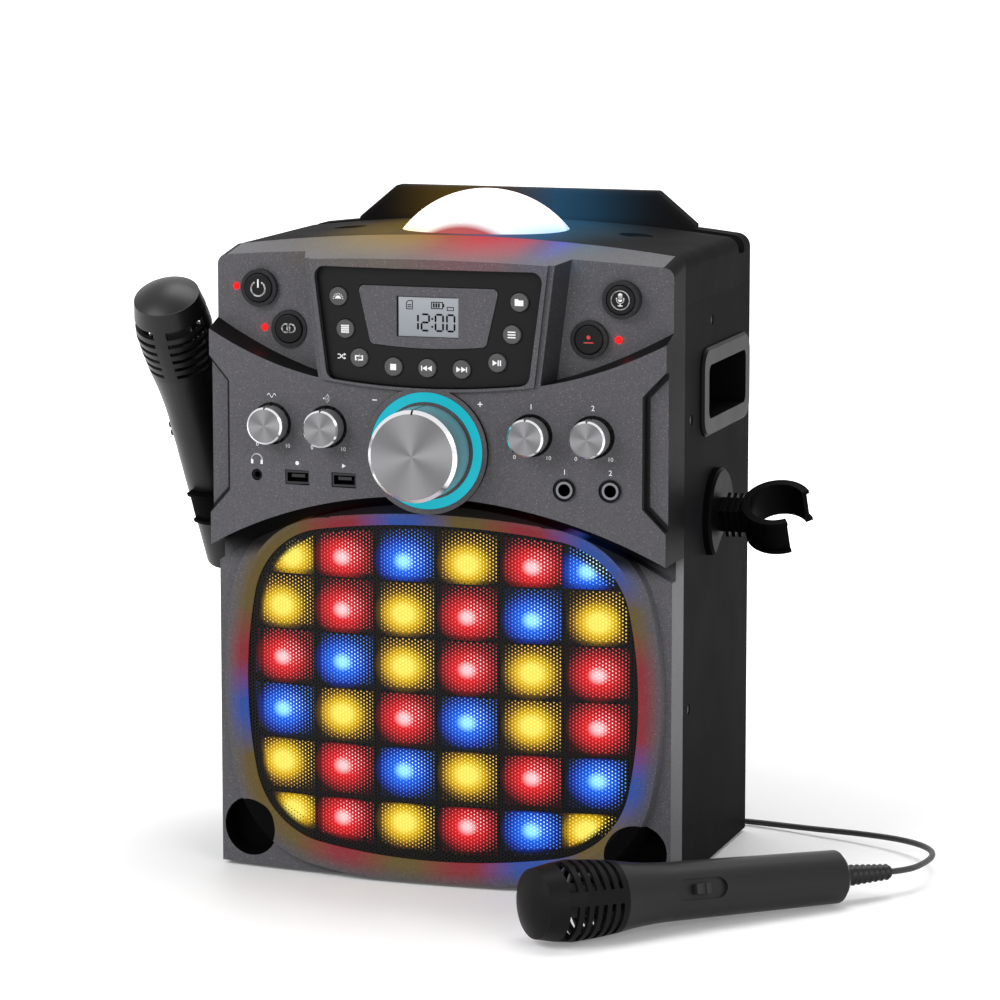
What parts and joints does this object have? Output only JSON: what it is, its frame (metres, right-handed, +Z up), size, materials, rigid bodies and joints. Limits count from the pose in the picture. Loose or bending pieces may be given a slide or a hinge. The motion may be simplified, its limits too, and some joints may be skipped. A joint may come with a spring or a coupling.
{
  "type": "karaoke machine",
  "caption": "Portable karaoke speaker: control fascia with knobs and buttons, perforated grille over coloured lights, light dome, hand-holds, microphone clips and wired microphones",
  "frame": {"origin": "centre of the cabinet's underside, one foot's height above the surface it stands on", "axes": "+X right seen from the front, front faces -Y, +Z up"},
  "size_m": [0.4633, 0.3974, 0.3905],
  "materials": {
    "side_black": "satin black",
    "cover_charcoal": "fine moulded grain",
    "fascia_grey": "dark warm grey with fine metallic flake",
    "foot_rubber": "matt",
    "screw_steel": "blackened",
    "panel_black": "satin black",
    "insert_grey": "satin dark grey",
    "display_glass": "grey-blue display under clear glass",
    "red_light": "lit red",
    "cyan_light": "lit cyan",
    "socket_black": "matt black",
    "socket_steel": "pressed sheet",
    "jack_chrome": "polished",
    "board_green": "solder mask",
    "inner_steel": "black coat",
    "grille_black": "black coated perforated sheet",
    "cell_black": "matt black",
    "cone_paper": "pressed pulp",
    "dome_clear": "clear moulded lens",
    "lamp_white": "white cup and lamp lenses",
    "trim_black": "moulded black",
    "mic_black": "satin black",
    "switch_grey": "dark grey",
    "cord_rubber": "black",
    "plug_steel": "plated pin in a black sleeve",
    "knob_aluminium": "spun face, satin side",
    "button_grey": "mid grey",
    "button_black": "satin black"
  },
  "bodies": {
    "cabinet": {"cabinet_shell": "side_black", "rear_panel": "side_black", "top_cover": "cover_charcoal", "control_fascia": "fascia_grey", "speaker_fascia": "fascia_grey", "rubber_feet": "foot_rubber", "case_screws": "screw_steel", "display_panel": "panel_black", "display_insert": "insert_grey", "lcd_module": "display_glass", "indicator_leds": "red_light", "volume_light_ring": "cyan_light", "headphone_jack": "socket_black", "usb_sockets": "socket_steel", "mic_jacks": "jack_chrome", "control_board": "board_green", "potentiometers": "inner_steel", "speaker_grille": "grille_black", "led_cell_grid": "cell_black", "led_strips": "board_green", "speaker_baffle": "side_black", "speaker_frame": "inner_steel", "speaker_surround": "foot_rubber", "dome_lens": "dome_clear", "dome_light": "lamp_white", "handle_cup_left": "trim_black", "handle_cup_right": "trim_black", "mic_holder_left": "trim_black", "mic_holder_right": "trim_black", "battery_pack": "socket_black", "main_board": "board_green", "dc_inlet": "socket_black"},
    "holder_microphone": {"holder_mic_body": "mic_black", "holder_mic_head": "mic_black"},
    "holder_mic_switch": {"holder_mic_switch": "switch_grey"},
    "floor_microphone": {"floor_mic_body": "mic_black", "floor_mic_head": "mic_black", "mic_cord": "cord_rubber", "mic_cord_coil": "cord_rubber", "mic_plug": "plug_steel"},
    "floor_mic_switch": {"floor_mic_switch": "switch_grey"},
    "speaker_cone": {"speaker_cone": "cone_paper"},
    "master_knob": {"master_knob": "knob_aluminium"},
    "bass_knob": {"bass_knob": "knob_aluminium"},
    "echo_knob": {"echo_knob": "knob_aluminium"},
    "mic_one_volume_knob": {"mic_one_volume_knob": "knob_aluminium"},
    "mic_two_volume_knob": {"mic_two_volume_knob": "knob_aluminium"},
    "light_button": {"light_button": "button_grey"},
    "pattern_button": {"pattern_button": "button_grey"},
    "repeat_button": {"repeat_button": "button_grey"},
    "stop_button": {"stop_button": "button_grey"},
    "previous_button": {"previous_button": "button_grey"},
    "next_button": {"next_button": "button_grey"},
    "play_button": {"play_button": "button_grey"},
    "mode_button": {"mode_button": "button_grey"},
    "folder_button": {"folder_button": "button_grey"},
    "power_button": {"power_button": "button_black"},
    "pairing_button": {"pairing_button": "button_black"},
    "voice_button": {"voice_button": "button_black"},
    "record_button": {"record_button": "button_black"}
  },
  "joints": [
    {"name": "light_press", "type": "slide", "parent": "cabinet", "child": "light_button", "axis": [0, 1, 0], "range_m": [0, 0.0012], "stiffness_N_per_m": 400},
    {"name": "pattern_press", "type": "slide", "parent": "cabinet", "child": "pattern_button", "axis": [0, 1, 0], "range_m": [0, 0.0012], "stiffness_N_per_m": 400},
    {"name": "repeat_press", "type": "slide", "parent": "cabinet", "child": "repeat_button", "axis": [0, 1, 0], "range_m": [0, 0.0012], "stiffness_N_per_m": 400},
    {"name": "stop_press", "type": "slide", "parent": "cabinet", "child": "stop_button", "axis": [0, 1, 0], "range_m": [0, 0.0012], "stiffness_N_per_m": 400},
    {"name": "previous_press", "type": "slide", "parent": "cabinet", "child": "previous_button", "axis": [0, 1, 0], "range_m": [0, 0.0012], "stiffness_N_per_m": 400},
    {"name": "next_press", "type": "slide", "parent": "cabinet", "child": "next_button", "axis": [0, 1, 0], "range_m": [0, 0.0012], "stiffness_N_per_m": 400},
    {"name": "play_press", "type": "slide", "parent": "cabinet", "child": "play_button", "axis": [0, 1, 0], "range_m": [0, 0.0012], "stiffness_N_per_m": 400},
    {"name": "mode_press", "type": "slide", "parent": "cabinet", "child": "mode_button", "axis": [0, 1, 0], "range_m": [0, 0.0012], "stiffness_N_per_m": 400},
    {"name": "folder_press", "type": "slide", "parent": "cabinet", "child": "folder_button", "axis": [0, 1, 0], "range_m": [0, 0.0012], "stiffness_N_per_m": 400},
    {"name": "power_press", "type": "slide", "parent": "cabinet", "child": "power_button", "axis": [0, 1, 0], "range_m": [0, 0.0012], "stiffness_N_per_m": 400},
    {"name": "pairing_press", "type": "slide", "parent": "cabinet", "child": "pairing_button", "axis": [0, 1, 0], "range_m": [0, 0.0012], "stiffness_N_per_m": 400},
    {"name": "voice_press", "type": "slide", "parent": "cabinet", "child": "voice_button", "axis": [0, 1, 0], "range_m": [0, 0.0012], "stiffness_N_per_m": 400},
    {"name": "record_press", "type": "slide", "parent": "cabinet", "child": "record_button", "axis": [0, 1, 0], "range_m": [0, 0.0012], "stiffness_N_per_m": 400},
    {"name": "master_turn", "type": "hinge", "parent": "cabinet", "child": "master_knob", "pos_m": [0, -0.125, 0.2504], "axis": [0, 1, 0], "range_deg": [-150, 150]},
    {"name": "bass_turn", "type": "hinge", "parent": "cabinet", "child": "bass_knob", "pos_m": [-0.0947, -0.125, 0.261], "axis": [0, 1, 0], "range_deg": [-150, 150]},
    {"name": "echo_turn", "type": "hinge", "parent": "cabinet", "child": "echo_knob", "pos_m": [-0.0601, -0.125, 0.261], "axis": [0, 1, 0], "range_deg": [-150, 150]},
    {"name": "mic_one_volume_turn", "type": "hinge", "parent": "cabinet", "child": "mic_one_volume_knob", "pos_m": [0.0601, -0.125, 0.261], "axis": [0, 1, 0], "range_deg": [-150, 150]},
    {"name": "mic_two_volume_turn", "type": "hinge", "parent": "cabinet", "child": "mic_two_volume_knob", "pos_m": [0.0947, -0.125, 0.261], "axis": [0, 1, 0], "range_deg": [-150, 150]},
    {"name": "cone_stroke", "type": "slide", "parent": "cabinet", "child": "speaker_cone", "axis": [0, 1, 0], "range_m": [-0.002, 0.002], "stiffness_N_per_m": 2000},
    {"name": "holder_mic_lift", "type": "slide", "parent": "cabinet", "child": "holder_microphone", "axis": [0, -0.515, 0.8572], "range_m": [0, 0.09]},
    {"name": "holder_mic_switch_slide", "type": "slide", "parent": "holder_microphone", "child": "holder_mic_switch", "axis": [0, -0.515, 0.8572], "range_m": [-0.004, 0.004]},
    {"name": "floor_mic_lift", "type": "slide", "parent": "cabinet", "child": "floor_microphone", "axis": [0, 0, 1], "range_m": [0, 0.1]},
    {"name": "floor_mic_switch_slide", "type": "slide", "parent": "floor_microphone", "child": "floor_mic_switch", "axis": [-0.6865, -0.7259, 0.0423], "range_m": [-0.004, 0.004]}
  ]
}
